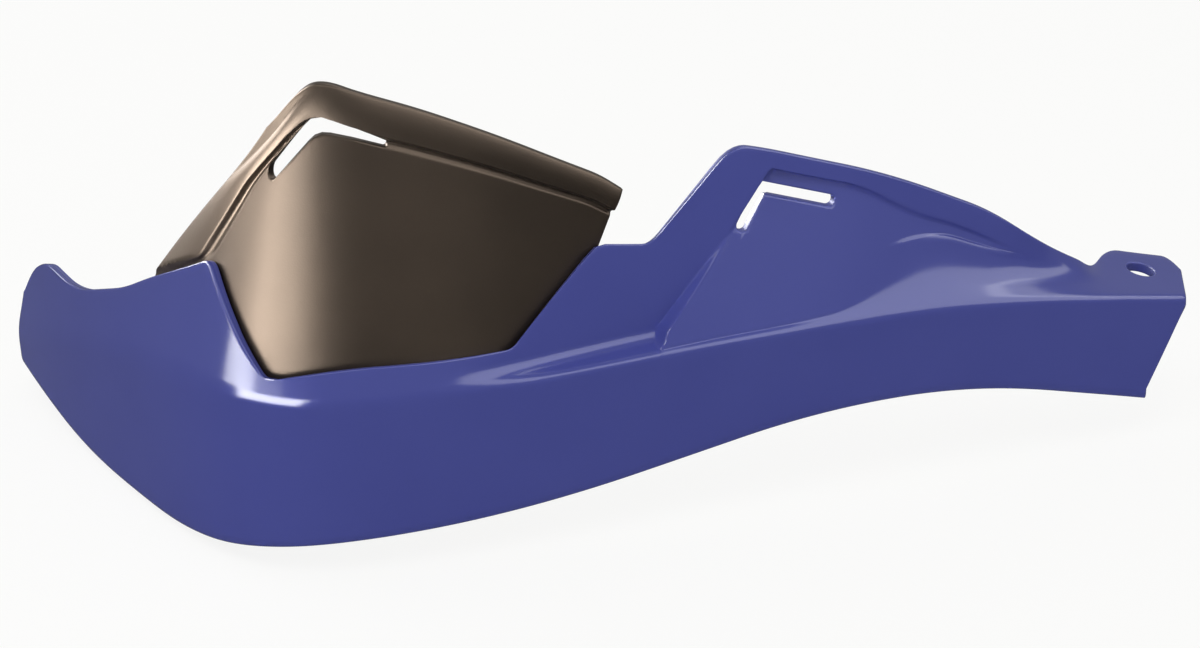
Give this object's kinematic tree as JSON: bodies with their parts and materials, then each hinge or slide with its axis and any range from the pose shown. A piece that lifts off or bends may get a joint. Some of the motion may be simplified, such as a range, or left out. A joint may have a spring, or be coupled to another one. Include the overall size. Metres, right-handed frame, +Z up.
{
  "type": "motorcycle hand guard",
  "caption": "Wrap-around hand guard for a motorcycle handlebar: glossy shell with a vented fin and a clamp tab, and a leaning wind deflector in its notch.",
  "frame": {"origin": "centre of the clamp bolt's hole, on the top face of its tab", "axes": "+X inward along the handlebar towards the middle of the motorcycle, -Y forward, +Z up"},
  "size_m": [0.3419, 0.129, 0.1398],
  "materials": {
    "shell": "glossy injection-moulded polypropylene, dark blue",
    "deflector": "satin bronze-coloured moulded plastic",
    "steel": "zinc-plated steel",
    "brass": "turned brass"
  },
  "bodies": {
    "root": {"shell": "shell", "deflector": "deflector", "deflector_screw_1": "steel", "deflector_screw_2": "steel", "deflector_screw_3": "steel", "deflector_screw_4": "steel", "deflector_washer_1": "steel", "deflector_washer_2": "steel", "deflector_washer_3": "steel", "deflector_washer_4": "steel", "bar_insert_1": "brass", "bar_insert_2": "brass"}
  },
  "joints": []
}
